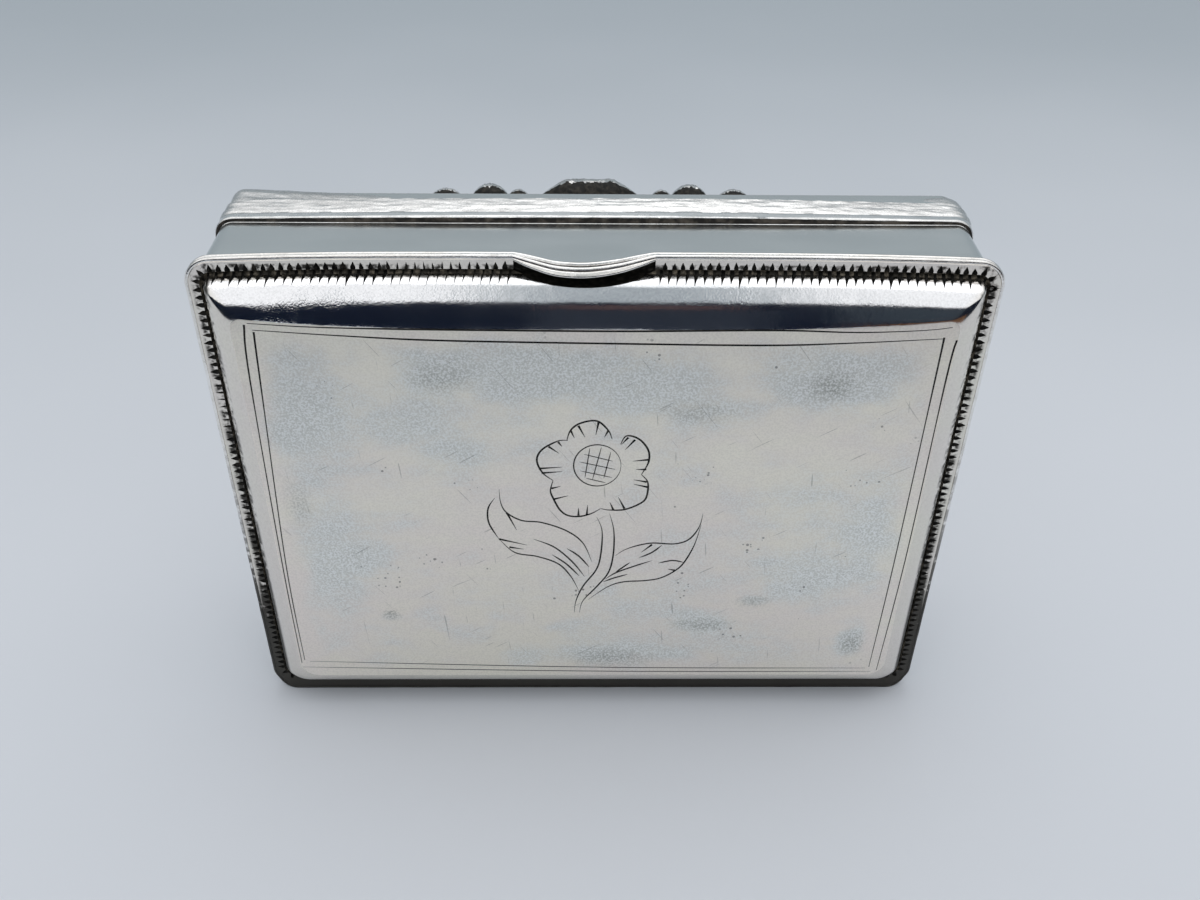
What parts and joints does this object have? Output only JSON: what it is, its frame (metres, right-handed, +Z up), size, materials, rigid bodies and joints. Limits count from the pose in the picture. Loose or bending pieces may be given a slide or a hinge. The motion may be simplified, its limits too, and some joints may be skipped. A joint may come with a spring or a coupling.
{
  "type": "snuff box",
  "caption": "Rectangular silver snuff box on its hinge edge: cushioned engraved lid with bent thumb lip on a knuckle hinge, plain wall, reeded base moulding and cast bosses.",
  "frame": {"origin": "on the surface that the box stands on, under the middle of its width and depth", "axes": "+Z up from the hinge edge to the thumb edge, +X along the hinge, -Y out of the engraved lid"},
  "size_m": [0.08, 0.024, 0.06],
  "materials": {
    "pale_silver": "worn satin silver with mottled tarnish, fine scratches and engraved lines",
    "bright_silver": "bright hand-finished silver, dark in its recesses",
    "grey_silver": "plain smooth grey silver",
    "inner_silver": "dull warm silver of the inside"
  },
  "bodies": {
    "box": {"wall_band": "grey_silver", "base_moulding": "bright_silver", "base_plate": "pale_silver", "hinge_bearer": "inner_silver", "centre_boss": "bright_silver", "inner_boss_left": "bright_silver", "inner_boss_right": "bright_silver", "outer_boss_left": "bright_silver", "outer_boss_right": "bright_silver", "body_knuckle_1": "grey_silver", "body_knuckle_2": "grey_silver", "body_knuckle_3": "grey_silver", "body_knuckle_4": "grey_silver", "hinge_pin": "grey_silver", "pin_head_left": "grey_silver", "pin_head_right": "grey_silver"},
    "lid": {"lid_plate": "pale_silver", "lid_edge_wire": "bright_silver", "thumb_lip": "bright_silver", "lid_lining": "inner_silver", "lid_bezel": "inner_silver", "lid_knuckle_1": "grey_silver", "lid_knuckle_2": "grey_silver", "lid_knuckle_3": "grey_silver"}
  },
  "joints": [
    {"name": "lid_hinge", "type": "hinge", "parent": "box", "child": "lid", "pos_m": [0, -0.0071, 0.0009], "axis": [1, 0, 0], "range_deg": [0, 80]}
  ]
}
